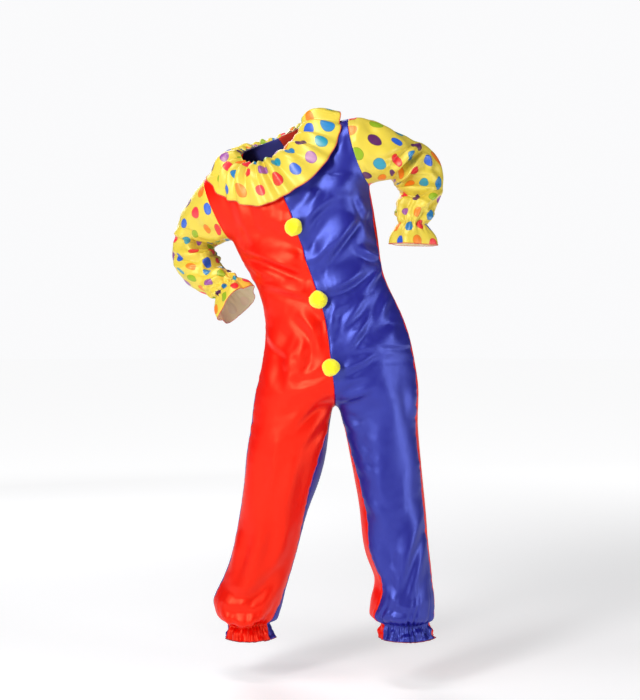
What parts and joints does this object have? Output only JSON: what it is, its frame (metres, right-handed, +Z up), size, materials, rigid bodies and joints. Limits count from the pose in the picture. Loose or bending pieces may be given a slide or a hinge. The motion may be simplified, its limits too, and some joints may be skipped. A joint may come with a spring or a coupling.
{
  "type": "clown costume",
  "caption": "Loose two-colour satin clown jumpsuit in a hands-on-hips pose, with gathered dotted collar, dotted sleeves with ruffled cuffs, gathered ankles and front pompoms.",
  "frame": {"origin": "middle of the neck opening, where the wearer's shoulders carry the garment", "axes": "+Z up, -Y the side that the front faces, +X towards the wearer's left arm"},
  "size_m": [0.7644, 0.4115, 1.463],
  "materials": {
    "red_satin": "satin",
    "blue_satin": "satin",
    "dotted_satin": "satin",
    "pompom_felt": "matt"
  },
  "bodies": {
    "root": {"front_red": "red_satin", "back_red": "red_satin", "front_blue": "blue_satin", "back_blue": "blue_satin", "sleeve_right": "dotted_satin", "sleeve_left": "dotted_satin", "collar": "dotted_satin", "pompom_upper": "pompom_felt", "pompom_middle": "pompom_felt", "pompom_lower": "pompom_felt"}
  },
  "joints": []
}
